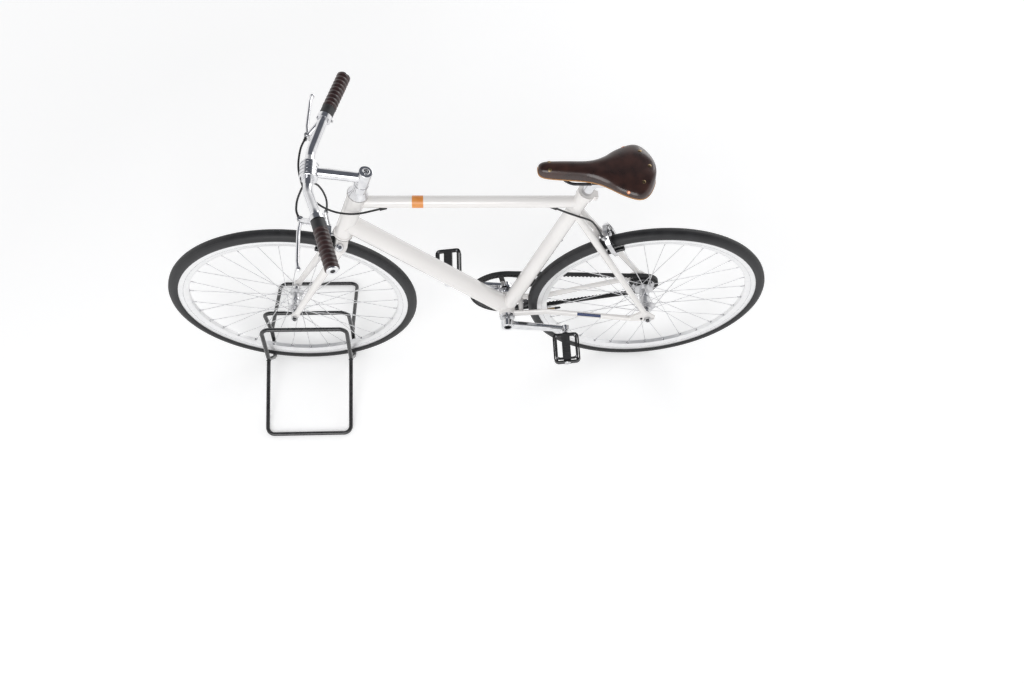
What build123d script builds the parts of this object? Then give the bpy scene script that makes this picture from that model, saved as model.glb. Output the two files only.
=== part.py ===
from build123d import *
from math import asin, cos, degrees, pi, radians, sin, tan
import os

# City bicycle held by a floor stand at its front wheel. Millimetres: +X forward, +Y the rider's
# left, +Z up; the origin is on the floor, midway between the axles.
os.makedirs("parts", exist_ok=True)

# ---------------------------------------------------------------- driving dimensions
WHEELBASE = 1008.0
RIM_R = 317.0              # outer edge of the rim, where the tyre sits
TYRE_H = 26.0              # above the rim's edge
TYRE_W = 32.0
RIM_DEPTH = 29.0
RIM_W = 21.0
BRAKE_TRACK = 14.0         # height of the rim's flat sides
SPOKES = 32
SPOKE_D = 2.0
CROSSES = 3
FRONT_OLD = 100.0          # width between the fork ends
REAR_OLD = 130.0           # width between the dropouts
AXLE_R = 5.0
RUN_FIT = 0.05             # radial clearance of every bearing

HEAD_ANGLE = 72.0
FORK_RAKE = 58.0
TYRE_CLEAR = 5.0           # from the tyre to the crown and the brakes
CROWN_H = 23.0
CUP_H = 9.0                # each bearing cup of the headset
HEAD_L = 156.0
COVER_H, CONE_H = 38.0, 16.0   # cover above the headset, and its conical foot
STEM_H = 44.0
STEM_CAP = 5.0
STEM_FIT = 0.3             # between the headset's turning faces
STEERER_R = 14.3
HEAD_R = 23.0
HEAD_BORE_R = 16.0
CUP_R = 25.0
COVER_R = 17.3
STEM_R = 16.5
REACH_R = 12.5
CROWN_W = 94.0
CROWN_THICK = 30.0
BLADE_Y = 34.0             # fork blade's centre at the crown
BLADE_TOP_R, BLADE_END_R = 13.0, 8.0

BAR_BACK = 122.0           # middle of the handlebar, behind the front axle
BAR_Z = 926.0
BAR_SETBACK, BAR_LIFT = 24.5, 16.0     # where the straight ends begin, against the middle
BEND_Y = 128.0
BAR_SWEEP = 16.7           # degrees that the ends point backwards
BAR_R, BAR_MID_R = 11.1, 12.7
BAR_CLAMP_R, BAR_CLAMP_W = 21.0, 44.0
GRIP_R = 15.0
GRIP_RIDGE = 1.7
GRIP_RIDGES = 9
GRIP_FROM, COLLAR_L, GRIP_L = 150.0, 24.0, 104.0   # start across; lengths along the bar
LEVER_W = 12.5

BB_TO_TYRE = 60.0          # from the rear tyre forward to the bottom bracket's axis
BB_DROP = 43.0             # below the axles
BB_R, BB_W, BB_BORE_R = 24.0, 68.0, 18.0
CUP_W = 6.0
TOP_TUBE_DROP = 25.0       # below the top of the head tube
TOP_TUBE_R = 15.0
DOWN_TUBE_RISE = 44.0      # above the foot of the head tube
DOWN_TUBE_TOP_R, DOWN_TUBE_LOW_R = 24.5, 27.0
SEAT_ANGLE = 73.4
SEAT_TUBE_LOW_R, SEAT_TUBE_TOP_R = 21.5, 19.0
SEAT_TUBE_ABOVE = 38.0     # from the top tube's axis to the top of the seat tube
POST_R = 13.6
STAY_DROP = 49.0           # seat stay's top, below the top tube
STAY_BEHIND, STAY_Y = 18.0, 15.0       # and behind and beside the seat tube's axis
STAY_TOP_R, STAY_END_R = 10.5, 8.0
CHAIN_STAY_Y = 27.4        # beside the tyre
CHAIN_STAY_HALF = 6.5
DROPOUT_T = 6.0

CRANK = 170.0
CRANK_DROP = 5.5           # degrees that the left crank points below straight back
CRANK_AXLE_R = 8.5
EXTRACTOR_R, EXTRACTOR_DEEP = 11.0, 10.0   # open recess in the left boss
ARM_FROM_Y, ARM_TO_Y = 54.0, 72.0      # left boss, across
PEDAL_Y = 71.0             # centre of the crank's pedal eye
EYE_W = 14.0
EYE_R = 14.0
PEDAL_AXLE_R = 5.0

BELT_PITCH = 11.0
RING_TEETH, COG_TEETH = 60, 24
BELT_Y = -47.0
BELT_W = 12.0
BELT_T = 3.4
BELT_GAP = 0.4             # between the belt and the two toothed wheels
TOOTH_W, TOOTH_H = 5.0, 3.4
PITCH_LOSS = 0.85          # from the pitch circle down to the teeth's tips

SADDLE_RISE = 102.0        # from the top of the seat tube to the saddle's top
NOSE_AHEAD = 141.0         # of the seatpost's head
SADDLE_L = 274.0
SADDLE_HALF_W = 77.0
LEATHER_T = 4.0
RAIL_R = 3.5
RAIL_DROP = 43.0
RAIL_Y = 22.0

CABLE_R = 2.5
LOOP_R, LEG_R = 6.2, 6.0     # tubes of the wheel stand
STAND_BACK = 5.5           # middle of the stand, behind the front axle
STAND_HALF = 125.0
# Corners of the stand's loop and roots of its legs, (across, height); feet of the legs, across.
LOOP_NEAR_TOP, LOOP_NEAR_BEND, LOOP_NEAR_FOOT = (34.0, 228.0), (60.0, 88.0), (12.0, LOOP_R)
LOOP_FAR_FOOT, LOOP_FAR_BEND, LOOP_FAR_TOP = (-22.0, LOOP_R), (-42.0, 82.0), (-33.0, 209.0)
LEG_NEAR_ROOT, LEG_NEAR_FOOT = (58.0, 88.3), 274.5
LEG_FAR_ROOT, LEG_FAR_FOOT = (-41.5, 82.0), -258.0

# ---------------------------------------------------------------- places worked out
FRONT_X, REAR_X = WHEELBASE / 2, -WHEELBASE / 2
TYRE_R = RIM_R + TYRE_H    # outer radius
AXLE_Z = TYRE_R
RIM_IN_R = RIM_R - RIM_DEPTH
CROWN_LOW = TYRE_R + TYRE_CLEAR        # stations along the steering axis
CROWN_TOP = CROWN_LOW + CROWN_H
HEAD_LOW = CROWN_TOP + CUP_H
HEAD_TOP = HEAD_LOW + HEAD_L
CUP_TOP = HEAD_TOP + CUP_H
STEM_LOW = CUP_TOP + COVER_H
STEM_TOP = STEM_LOW + STEM_H
UP = Vector(-cos(radians(HEAD_ANGLE)), 0, sin(radians(HEAD_ANGLE)))
AHEAD = Vector(sin(radians(HEAD_ANGLE)), 0, cos(radians(HEAD_ANGLE)))
FRONT_AXLE = Vector(FRONT_X, 0, AXLE_Z)
REAR_AXLE = Vector(REAR_X, 0, AXLE_Z)
STEER_FOOT = FRONT_AXLE - AHEAD * FORK_RAKE
STEER = Plane(origin=STEER_FOOT, x_dir=AHEAD, z_dir=UP)
SEAT_DIR = Vector(-cos(radians(SEAT_ANGLE)), 0, sin(radians(SEAT_ANGLE)))
BB_X, BB_Z = REAR_X + TYRE_R + BB_TO_TYRE, AXLE_Z - BB_DROP
BB = Vector(BB_X, 0, BB_Z)
BAR_X = FRONT_X - BAR_BACK
TOP_TUBE_Z = STEER_FOOT.Z + UP.Z * (HEAD_TOP - TOP_TUBE_DROP)
SEAT_TUBE_TOP_Z = TOP_TUBE_Z + SEAT_TUBE_ABOVE
SADDLE_TOP = SEAT_TUBE_TOP_Z + SADDLE_RISE
RAIL_Z = SADDLE_TOP - RAIL_DROP
POST_TOP_Z = RAIL_Z - 15
RING_PITCH_R = RING_TEETH * BELT_PITCH / (2 * pi)
COG_PITCH_R = COG_TEETH * BELT_PITCH / (2 * pi)
RING_R, COG_R = RING_PITCH_R - PITCH_LOSS, COG_PITCH_R - PITCH_LOSS


def steer(station, ahead=0.0, across=0.0):
    """Point at a station along the steering axis, ahead of it and across."""
    return STEER_FOOT + UP * station + AHEAD * ahead + Vector(0, across, 0)


def seat_axis(height):
    """Point of the seat tube's axis at a height above the floor."""
    return BB + SEAT_DIR * ((height - BB_Z) / SEAT_DIR.Z)


STAY_TOP = seat_axis(TOP_TUBE_Z - STAY_DROP) + Vector(-STAY_BEHIND, STAY_Y, 0)


def rod(start, end, r, r_end=None):
    """Straight round bar, tapered when r_end is given."""
    start, end = Vector(start), Vector(end)
    length = (end - start).length
    aside = (1, 0, 0) if abs(end.Y - start.Y) > 0.9 * length else (0, 1, 0)
    plane = Plane(origin=start, x_dir=aside, z_dir=end - start)
    if r_end is None:
        return Solid.make_cylinder(r, length, plane)
    return Solid.make_cone(r, r_end, length, plane)


def cross(x, z, r, y_from, y_to):
    """Round bar across the bicycle."""
    return rod((x, y_from, z), (x, y_to, z), r)


def collar(plane, r_out, r_in, height):
    return Solid.make_cylinder(r_out, height, plane) - Solid.make_cylinder(r_in, height, plane)


def slab(outline, y_from, y_to):
    """Plate whose outline is drawn in X and Z, thick across."""
    plane = Plane(origin=(0, y_to, 0), x_dir=(1, 0, 0), z_dir=(0, -1, 0))
    return extrude(plane * outline, y_to - y_from)


def hull(*discs):
    """Outline around discs, each (x, z, radius)."""
    return make_hull([e for x, z, r in discs for e in (Pos(x, z) * Circle(r)).edges()])


def swept(points, radii, r):
    """Round bar bent along straight runs joined by arcs."""
    path = FilletPolyline(*points, radius=radii)
    return sweep(Plane(origin=path @ 0, z_dir=path % 0) * Circle(r), path=path)


def cable(name, points):
    """Brake cable: each bend is as wide as its two runs allow."""
    points = [Vector(p) for p in points]
    radii = []
    for a, b, c in zip(points, points[1:], points[2:]):
        turn = radians((b - a).get_angle(c - b))
        radii.append(0.45 * min((b - a).length, (c - b).length) / tan(turn / 2))
    print(name, "radii", [round(r) for r in radii])
    return swept(points, radii, CABLE_R)


def mirrored(shape):
    """The same piece on the right-hand side."""
    return mirror(shape, about=Plane.XZ)


def write(node, *solids):
    """Writes one node, of one piece or of several that don't touch."""
    shape = solids[0] if len(solids) == 1 else Compound(children=list(solids))
    export_step(shape, f"parts/{node}.step")


def write_pair(name, left):
    write(f"{name}_left", left)
    write(f"{name}_right", mirrored(left))


# ---------------------------------------------------------------- wheels
def turned(outline):
    """Ring about the Y axis from its (radius, across) outline."""
    return revolve(outline, Axis.Y)


def polygon(*points):
    return make_face(Polyline(*points, close=True))


def tyre():
    tube = Pos(TYRE_R - TYRE_W / 2, 0) * Circle(TYRE_W / 2)
    below = Pos(RIM_R - TYRE_W, 0) * Rectangle(2 * TYRE_W, 2 * TYRE_W)
    return turned(tube - below)


def rim():
    side = [(RIM_IN_R, 6), (RIM_IN_R + 3, 7.5), (RIM_R - BRAKE_TRACK, RIM_W / 2), (RIM_R, RIM_W / 2)]
    other = [(r, -y) for r, y in reversed(side)]
    return turned(polygon(*side, *other))


def hub_and_spokes(left_y, right_y, flange_r, barrel_r, left_end, right_end):
    """Hub shell bored for its axle, with both sides' spokes laced across each other."""
    bore = AXLE_R + RUN_FIT
    thick, neck = 1.5, barrel_r + 1.5
    outline = polygon(
        (bore, left_end), (neck, left_end), (neck, left_y + thick), (flange_r, left_y + thick),
        (flange_r, left_y - thick), (barrel_r, left_y - thick - 3), (barrel_r, right_y + thick + 3),
        (flange_r, right_y + thick), (flange_r, right_y - thick), (neck, right_y - thick),
        (neck, right_end), (bore, right_end))
    pieces = []
    per_side = SPOKES // 2
    step = 360 / per_side
    for flange_y, shift, rim_y in ((left_y, 0.0, 2.0), (right_y, step / 2, -2.0)):
        for k in range(per_side):
            way = 1 if k % 2 else -1
            hub_at = radians(k * step + shift)
            rim_at = radians(k * step + shift + way * CROSSES * step)
            at_flange = Vector((flange_r - 3) * cos(hub_at), flange_y + 2 * way, (flange_r - 3) * sin(hub_at))
            radial = Vector(cos(rim_at), 0, sin(rim_at))
            nipple = radial * (RIM_IN_R - 11) + Vector(0, rim_y, 0)
            pieces.append(rod(at_flange, nipple + radial * 2, SPOKE_D / 2))
            pieces.append(rod(nipple, radial * RIM_IN_R + Vector(0, rim_y, 0), SPOKE_D))
    return turned(outline) + pieces


def write_wheel(name, axle, hub):
    place = Pos(axle.X, axle.Y, axle.Z)
    write(f"{name}_tyre", place * tyre())
    write(f"{name}_rim", place * rim())
    write(f"{name}_hub_and_spokes", place * hub)


write_wheel("front", FRONT_AXLE, hub_and_spokes(27, -27, 20, 11, 33, -33))
write_wheel("rear", REAR_AXLE, hub_and_spokes(32, -26, 27, 14, 40, -31))


def axle(at, inner_left, inner_right, half_old, plate, nut_r):
    """Fixed axle: shaft, a locknut up to each frame end and a nut outside it."""
    shaft = cross(at.X, at.Z, AXLE_R, -half_old - plate - 11, half_old + plate + 11)
    return shaft + [
        cross(at.X, at.Z, nut_r - 1, inner_left, half_old),
        cross(at.X, at.Z, nut_r - 1, -half_old, inner_right),
        cross(at.X, at.Z, nut_r, half_old + plate, half_old + plate + 7),
        cross(at.X, at.Z, nut_r, -half_old - plate - 7, -half_old - plate),
    ]


FORK_END_T = 5.0
write("front_axle", axle(FRONT_AXLE, 33.5, -33.5, FRONT_OLD / 2, FORK_END_T, 9))
write("rear_axle", axle(REAR_AXLE, 40.5, -57.5, REAR_OLD / 2, DROPOUT_T, 10))

# ---------------------------------------------------------------- fork, headset and stem
steerer = Solid.make_cylinder(STEERER_R, STEM_TOP - CROWN_TOP, STEER.offset(CROWN_TOP))
head_outer = Solid.make_cylinder(HEAD_R, HEAD_L, STEER.offset(HEAD_LOW))


def fork_crown():
    """Rounded block with sloping shoulders, and the steerer standing on it."""
    block = extrude(STEER.offset(CROWN_LOW) * SlotOverall(CROWN_W, CROWN_THICK, rotation=90),
                    CROWN_TOP - CROWN_LOW)
    front = Plane(origin=STEER_FOOT - AHEAD * CROWN_THICK, x_dir=(0, 1, 0), z_dir=AHEAD)
    half, shoulder = CROWN_W / 2 + 3, CROWN_LOW + 2
    shoulders = front * polygon((-half, CROWN_LOW), (half, CROWN_LOW), (half, shoulder),
                                (20, CROWN_TOP), (-20, CROWN_TOP), (-half, shoulder))
    return (block & extrude(shoulders, 2 * CROWN_THICK)) + steerer


def fork_blade():
    """Left blade, straight and tapering, with the flat end that takes the axle."""
    top = steer(CROWN_LOW + 4, 0, BLADE_Y)
    foot = FRONT_AXLE + Vector(0, FRONT_OLD / 2 + 3, 0)
    way = (foot - top).normalized()
    low = foot - way * 24
    blade = rod(top, low, BLADE_TOP_R, BLADE_END_R) + Pos(*low) * Sphere(BLADE_END_R)
    blade = split(blade, bisect_by=STEER.offset(CROWN_LOW), keep=Keep.BOTTOM)
    end = slab(hull((low.X, low.Z, 8), (FRONT_X, AXLE_Z, 11)),
               FRONT_OLD / 2, FRONT_OLD / 2 + FORK_END_T)
    return blade + end - cross(FRONT_X, AXLE_Z, AXLE_R, 0, 2 * FRONT_OLD)


write("fork_crown", fork_crown())
write_pair("fork_blade", fork_blade())

write("headset_cups",
      collar(STEER.offset(CROWN_TOP + STEM_FIT), CUP_R, STEERER_R + RUN_FIT, CUP_H - STEM_FIT),
      collar(STEER.offset(HEAD_TOP), CUP_R, STEERER_R + RUN_FIT, CUP_H))
cover_foot = Solid.make_cone(CUP_R - 1, COVER_R, CONE_H, STEER.offset(CUP_TOP + STEM_FIT))
cover_neck = Solid.make_cylinder(COVER_R, COVER_H - STEM_FIT, STEER.offset(CUP_TOP + STEM_FIT))
write("headset_spacers", cover_foot + cover_neck - steerer)


BOLT_HOLE_R = 6.0


def stem():
    """Clamp on the steerer with its cap, the extension and the grooved clamp around the bar."""
    column = Solid.make_cylinder(STEM_R, STEM_H + STEM_CAP, STEER.offset(STEM_LOW))
    column = fillet(column.edges().filter_by(GeomType.CIRCLE), 2)
    bolt_hole = Solid.make_cylinder(BOLT_HOLE_R, STEM_CAP, STEER.offset(STEM_TOP + 1.5))
    reach = rod(steer(STEM_LOW + 25), (BAR_X, 0, BAR_Z), REACH_R)
    eye = fillet(cross(BAR_X, BAR_Z, BAR_CLAMP_R, -BAR_CLAMP_W / 2, BAR_CLAMP_W / 2).edges(), 2)
    grooves = [collar(Plane(origin=(BAR_X, y, BAR_Z), z_dir=(0, 1, 0)), BAR_CLAMP_R + 1, BAR_CLAMP_R - 2, 2)
               for y in (-16, -6, 4, 14)]
    return column + (eye - grooves + reach) - steerer - bolt_hole - cross(BAR_X, BAR_Z, BAR_MID_R, -50, 50)


write("stem", stem())

# ---------------------------------------------------------------- handlebar, grips and levers
BAR_BEND = Vector(BAR_X - BAR_SETBACK, BEND_Y, BAR_Z + BAR_LIFT)
BAR_OUT = Vector(-sin(radians(BAR_SWEEP)), cos(radians(BAR_SWEEP)), 0)


def along_bar(across):
    """Point on the straight end of the left half of the handlebar."""
    return BAR_BEND + BAR_OUT * ((across - BAR_BEND.Y) / BAR_OUT.Y)


COLLAR_AT = along_bar(GRIP_FROM)
GRIP_AT = COLLAR_AT + BAR_OUT * COLLAR_L
PLUG_AT = GRIP_AT + BAR_OUT * GRIP_L
PLUG_L = 5.0
END_R = 14.0


def handlebar():
    """Bar with its thick middle, two bends each side and the plugs at its ends."""
    waist, shoulder = 28.0, 40.0
    path = [(BAR_X, shoulder, BAR_Z), (BAR_X, shoulder + 15, BAR_Z), BAR_BEND, PLUG_AT]
    half = swept(path, [70, 60], BAR_R)
    half = half + rod((BAR_X, waist, BAR_Z), (BAR_X, shoulder, BAR_Z), BAR_MID_R, BAR_R)
    plug = rod(PLUG_AT, PLUG_AT + BAR_OUT * PLUG_L, END_R)
    plug = fillet(plug.edges().filter_by(GeomType.CIRCLE).sort_by(Axis.Y)[-1], 3)
    return half + mirrored(half) + plug + mirrored(plug) + cross(BAR_X, BAR_Z, BAR_MID_R, -waist, waist)


def grip():
    """Leather sleeve whose outline swells between the turns of its wrap."""
    side = Plane(origin=GRIP_AT, x_dir=(0, 0, 1), z_dir=Vector(0, 0, 1).cross(BAR_OUT))
    pitch = GRIP_L / GRIP_RIDGES
    outline = [Line((0, 0), (GRIP_R, 0))]
    for k in range(GRIP_RIDGES):
        low, high = k * pitch, (k + 1) * pitch
        outline.append(ThreePointArc((GRIP_R, low), (GRIP_R + GRIP_RIDGE, (low + high) / 2), (GRIP_R, high)))
    outline += [Line((GRIP_R, GRIP_L), (0, GRIP_L)), Line((0, GRIP_L), (0, 0))]
    sleeve = revolve(side * make_face(outline), Axis(GRIP_AT, BAR_OUT))
    return sleeve - rod(COLLAR_AT, PLUG_AT + BAR_OUT, BAR_R)


LEVER_PIVOT = Vector(BAR_X + 14, BEND_Y - 8, BAR_Z - 21)
BARREL_END = LEVER_PIVOT + Vector(4, -6, 0)
BARREL_WAY = Vector(8, -19, 0).normalized()
bar = handlebar()


def brake_lever():
    """Clamp ring, bracket with its cable barrel, and the blade to its rounded tip."""
    ring_at = COLLAR_AT - BAR_OUT * (LEVER_W + 1.5)
    ring = rod(ring_at, ring_at + BAR_OUT * LEVER_W, 17)
    arm = rod(ring_at + BAR_OUT * LEVER_W / 2 + Vector(10, 0, -12), LEVER_PIVOT, 8, 6.5)
    pin = rod(LEVER_PIVOT - Vector(0, 0, 9), LEVER_PIVOT + Vector(0, 0, 8), 7)
    barrel = rod(BARREL_END - BARREL_WAY * 8, BARREL_END, 4.5)
    path = FilletPolyline(*[LEVER_PIVOT + Vector(*p) for p in
                            ((0, 0, -2), (3, 30, 0), (0, 108, 0), (-3, 126, -2))], radius=[60, 30])
    blade = sweep(Plane(origin=path @ 0, z_dir=path % 0, x_dir=(0, 0, 1)) * Ellipse(6, 4.4), path=path)
    tip = Pos(*(path @ 1)) * Sphere(6.5)
    return (ring + arm + pin + barrel + blade + tip) - bar


write("handlebar", bar)
write_pair("grip", grip())
write_pair("grip_collar", rod(COLLAR_AT, GRIP_AT, GRIP_R + 1) - rod(COLLAR_AT - BAR_OUT, GRIP_AT, BAR_R))
write_pair("brake_lever", brake_lever())


# ---------------------------------------------------------------- rim brakes
BARREL_L = 12.0


def caliper(at, ahead, along, bolt_at, bolt_from, middle, pull_from, pull_to):
    """Rim brake in its wheel's plane: at is the axle, along points to the brake, ahead is the bolt's."""
    base = Plane(origin=at, x_dir=ahead, z_dir=along)

    def point(x, y, z):
        return base.from_local_coords((x, y, z))

    pad_r = RIM_R - BRAKE_TRACK / 2 - 2
    pad_at = (pad_r ** 2 - middle ** 2) ** 0.5
    top, inside = bolt_at + 10, TYRE_R + TYRE_CLEAR
    half = [(0, top), (18, top - 1), (34, top - 16), (40, pad_at + 24), (35, pad_at - 2), (22, pad_at - 6),
            (22, pad_at + 6), (27, pad_at + 24), (20, inside - 2), (0, inside)]
    outline = make_face(Polyline(*half, *[(-y, z) for y, z in reversed(half[1:-1])], close=True))
    sheet = Plane(origin=base.origin + base.x_dir * (middle - 6), x_dir=base.y_dir, z_dir=base.x_dir)
    body = extrude(sheet * outline, 12)
    bolt = rod(point(bolt_from, 0, bolt_at), point(middle + 13, 0, bolt_at), 4)
    cap = rod(point(middle + 6, 0, bolt_at), point(middle + 11, 0, bolt_at), 8)
    pull = rod(point(middle, pull_from[0], pull_from[1]), point(*pull_to), 5)
    barrel = rod(point(*pull_to) - base.z_dir * 5, point(*pull_to) + base.z_dir * BARREL_L, 4)
    turn = Vector(middle, 0, pad_at).normalized()
    out = base.x_dir * turn.X + base.z_dir * turn.Z
    pads = []
    for side in (1, -1):
        inner = (RIM_W / 2 + 3) * side
        y = inner + 4.5 * side
        centre = at + out * pad_r + base.y_dir * y
        pads.append(Plane(origin=centre, x_dir=base.y_dir, z_dir=out) * Box(9, 44, 9))
    return body + [bolt, cap, pull, barrel] + pads


BRIDGE_DIR = (Vector(STAY_TOP.X, 0, STAY_TOP.Z) - REAR_AXLE).normalized()
BRIDGE_AT = TYRE_R + 29
BRIDGE_R = 7.0
BEHIND = Vector(-BRIDGE_DIR.Z, 0, BRIDGE_DIR.X)
FRONT_PULL = Vector(48 - FORK_RAKE, -43, TYRE_R + 42)      # ahead of the axle, across, along the fork
REAR_PULL = Vector(22, -22, TYRE_R + 35)
write("front_brake", caliper(FRONT_AXLE, AHEAD, UP, (CROWN_LOW + CROWN_TOP) / 2,
                             CROWN_THICK / 2 - FORK_RAKE, 35 - FORK_RAKE, (-20, TYRE_R + 19), FRONT_PULL))
write("rear_brake", caliper(REAR_AXLE, BEHIND, BRIDGE_DIR, BRIDGE_AT, BRIDGE_R, 28,
                            (-20, TYRE_R + 31), REAR_PULL))

# ---------------------------------------------------------------- frame
taper_from = seat_axis(BB_Z + 4 * BB_R)
seat_outer = (rod(BB, taper_from, SEAT_TUBE_LOW_R)
              + rod(taper_from, seat_axis(SEAT_TUBE_TOP_Z), SEAT_TUBE_LOW_R, SEAT_TUBE_TOP_R))
bb_outer = cross(BB_X, BB_Z, BB_R, -BB_W / 2, BB_W / 2)
post = rod(seat_axis(SEAT_TUBE_TOP_Z - 110), seat_axis(POST_TOP_Z), POST_R)
post_bore = rod(seat_axis(SEAT_TUBE_TOP_Z - 110), seat_axis(SEAT_TUBE_TOP_Z + 40), POST_R)

write("head_tube", head_outer - Solid.make_cylinder(HEAD_BORE_R, HEAD_L, STEER.offset(HEAD_LOW)))
write("bottom_bracket_shell", bb_outer - cross(BB_X, BB_Z, BB_BORE_R, -50, 50))
cup = collar(Plane(origin=(BB_X, BB_W / 2, BB_Z), z_dir=(0, 1, 0)), BB_R - 1.5, CRANK_AXLE_R + RUN_FIT, CUP_W)
write("bearing_cups", cup, mirrored(cup))

top_tube = rod(seat_axis(TOP_TUBE_Z), steer(HEAD_TOP - TOP_TUBE_DROP), TOP_TUBE_R) - head_outer - seat_outer
write("top_tube", top_tube)
write("seat_tube", seat_outer - bb_outer - post_bore)
write("down_tube", rod(steer(HEAD_LOW + DOWN_TUBE_RISE), BB, DOWN_TUBE_TOP_R, DOWN_TUBE_LOW_R)
      - head_outer - bb_outer - seat_outer)


def chain_stay():
    """Left stay: tall beside the tyre, then flaring out and thinning to the dropout."""
    def section(x, y, z, half_y, half_z):
        return Plane(origin=(x, y, z), x_dir=(0, 1, 0), z_dir=(-1, 0, 0)) * Ellipse(half_y, half_z)

    root = section(BB_X - 12, CHAIN_STAY_Y, BB_Z + 2, CHAIN_STAY_HALF, 12)
    waist = section(BB_X - 114, CHAIN_STAY_Y, BB_Z + 12, CHAIN_STAY_HALF, 12)
    end = section(REAR_X + 49, REAR_OLD / 2 + 2, AXLE_Z - 6, STAY_END_R, STAY_END_R)
    return loft([root, waist]) + loft([waist, end]) - bb_outer


def dropout():
    """Left plate where both stays end, with its slot open to the rear for the axle."""
    y_from = REAR_OLD / 2
    corners = hull((REAR_X + 17, AXLE_Z + 29, 9), (REAR_X + 49, AXLE_Z - 6, 9), (REAR_X - 8, AXLE_Z, 15))
    plate = slab(corners, y_from, y_from + DROPOUT_T)
    slot = slab(Pos(REAR_X - 25, AXLE_Z) * Rectangle(50, 2 * AXLE_R), y_from - 1, y_from + DROPOUT_T + 1)
    return plate - slot - cross(REAR_X, AXLE_Z, AXLE_R, y_from - 1, y_from + DROPOUT_T + 1)


plate_left = dropout()


def seat_stay():
    end = REAR_AXLE + Vector(12, REAR_OLD / 2 + 1, 23)
    stay = rod(STAY_TOP, end, STAY_TOP_R, STAY_END_R) + Pos(*STAY_TOP) * Sphere(STAY_TOP_R)
    return stay - seat_outer - plate_left


stay_left = seat_stay()
chain_stay_left = chain_stay() - plate_left
write_pair("chain_stay", chain_stay_left)
write_pair("seat_stay", stay_left)
write("dropouts", plate_left, mirrored(plate_left))

bridge_point = REAR_AXLE + BRIDGE_DIR * BRIDGE_AT
brake_bridge = cross(bridge_point.X, bridge_point.Z, BRIDGE_R, -30, 30) - stay_left - mirrored(stay_left)
low_bridge = (cross(BB_X - 41, BB_Z + 5, BRIDGE_R, -27, 27)
              - chain_stay_left - mirrored(chain_stay_left))
write("stay_bridges", brake_bridge, low_bridge)


def seat_clamp():
    """Collar over the top of the seat tube, with two ears and their bolt behind."""
    low = seat_axis(SEAT_TUBE_TOP_Z - 14)
    plane = Plane(origin=low, z_dir=SEAT_DIR)
    ring = Solid.make_cylinder(SEAT_TUBE_TOP_R + 3, 16, plane)
    ears = Plane(origin=low + SEAT_DIR * 8, x_dir=(0, 1, 0), z_dir=SEAT_DIR) * Pos(0, 24, 0) * Box(20, 14, 14)
    bolt = rod(low + SEAT_DIR * 8 + Vector(-26, -13, -7), low + SEAT_DIR * 8 + Vector(-26, 13, -7), 3.5)
    return ring + ears + bolt - seat_outer - post


write("seat_clamp", seat_clamp())


# ---------------------------------------------------------------- seatpost and saddle
def rail():
    """Left rail: from the nose, level through the seatpost's clamp, up to the back."""
    nose, back, middle = nose_x - 27, nose_x - SADDLE_L + 26, head.X
    return swept([(nose, 5, SADDLE_TOP - LEATHER_T - 2), (middle + 67, RAIL_Y, RAIL_Z),
                  (middle - 48, RAIL_Y, RAIL_Z), (back, 36, SADDLE_TOP - LEATHER_T - 4)], [45, 45], RAIL_R)


head = seat_axis(RAIL_Z)
nose_x = head.X + NOSE_AHEAD
rails = [rail(), mirrored(rail())]
cradle = cross(head.X, RAIL_Z - 4, 15, -RAIL_Y + 5, RAIL_Y - 5)
jaws = Pos(head.X, 0, RAIL_Z) * Box(34, 2 * RAIL_Y + 14, 13)
write("seatpost", post + [cradle, fillet(jaws.edges().filter_by(Axis.Y), 4)] - rails)
write("saddle_rails", *rails)

# Saddle: share of the length from the nose, half width as a share of the widest, height lost from
# the top, and depth of the turned-down side.
SADDLE_STATIONS = [
    (0.0, 0.12, 7.0, 14), (0.03, 0.21, 2.5, 22), (0.1, 0.255, 0.5, 26), (0.25, 0.285, 1.5, 27),
    (0.42, 0.33, 4.0, 26), (0.52, 0.44, 5.0, 24), (0.6, 0.6, 5.0, 23), (0.7, 0.83, 4.0, 23),
    (0.8, 0.98, 2.5, 25), (0.87, 0.98, 2.0, 27), (0.93, 0.82, 2.5, 29), (0.975, 0.55, 4.5, 28),
    (1.0, 0.25, 9.0, 22)]


def saddle_section(share, width, lost, depth, inset):
    """Domed section across the saddle at a station, inset by the leather for its hollow."""
    half = SADDLE_HALF_W * width - inset
    top = SADDLE_TOP - lost - inset
    low = SADDLE_TOP - lost - depth - inset
    rise = top - low
    crown = Spline(*[(y * half, low + z * rise) for y, z in
                     ((-1, 0), (-0.97, 0.42), (-0.72, 0.84), (0, 1), (0.72, 0.84), (0.97, 0.42), (1, 0))])
    plane = Plane(origin=(nose_x - SADDLE_L * share, 0, 0), x_dir=(0, 1, 0), z_dir=(1, 0, 0))
    return plane * make_face([crown, Line((half, low), (-half, low))])


def saddle():
    """Leather top with its turned-down sides, open below."""
    shell = loft([saddle_section(*station, 0) for station in SADDLE_STATIONS])
    hollow = loft([saddle_section(*station, LEATHER_T) for station in SADDLE_STATIONS[1:-1]])
    return shell - hollow - rails


write("saddle", saddle())


# ---------------------------------------------------------------- cranks, chainring and belt
crank_way = Vector(-cos(radians(CRANK_DROP)), 0, -sin(radians(CRANK_DROP)))
left_eye = BB + crank_way * CRANK
right_eye = BB - crank_way * CRANK
AXLE_END_Y = ARM_TO_Y - EXTRACTOR_DEEP
crank_axle = cross(BB_X, BB_Z, CRANK_AXLE_R, -AXLE_END_Y, AXLE_END_Y)
write("crank_axle", crank_axle)


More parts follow.
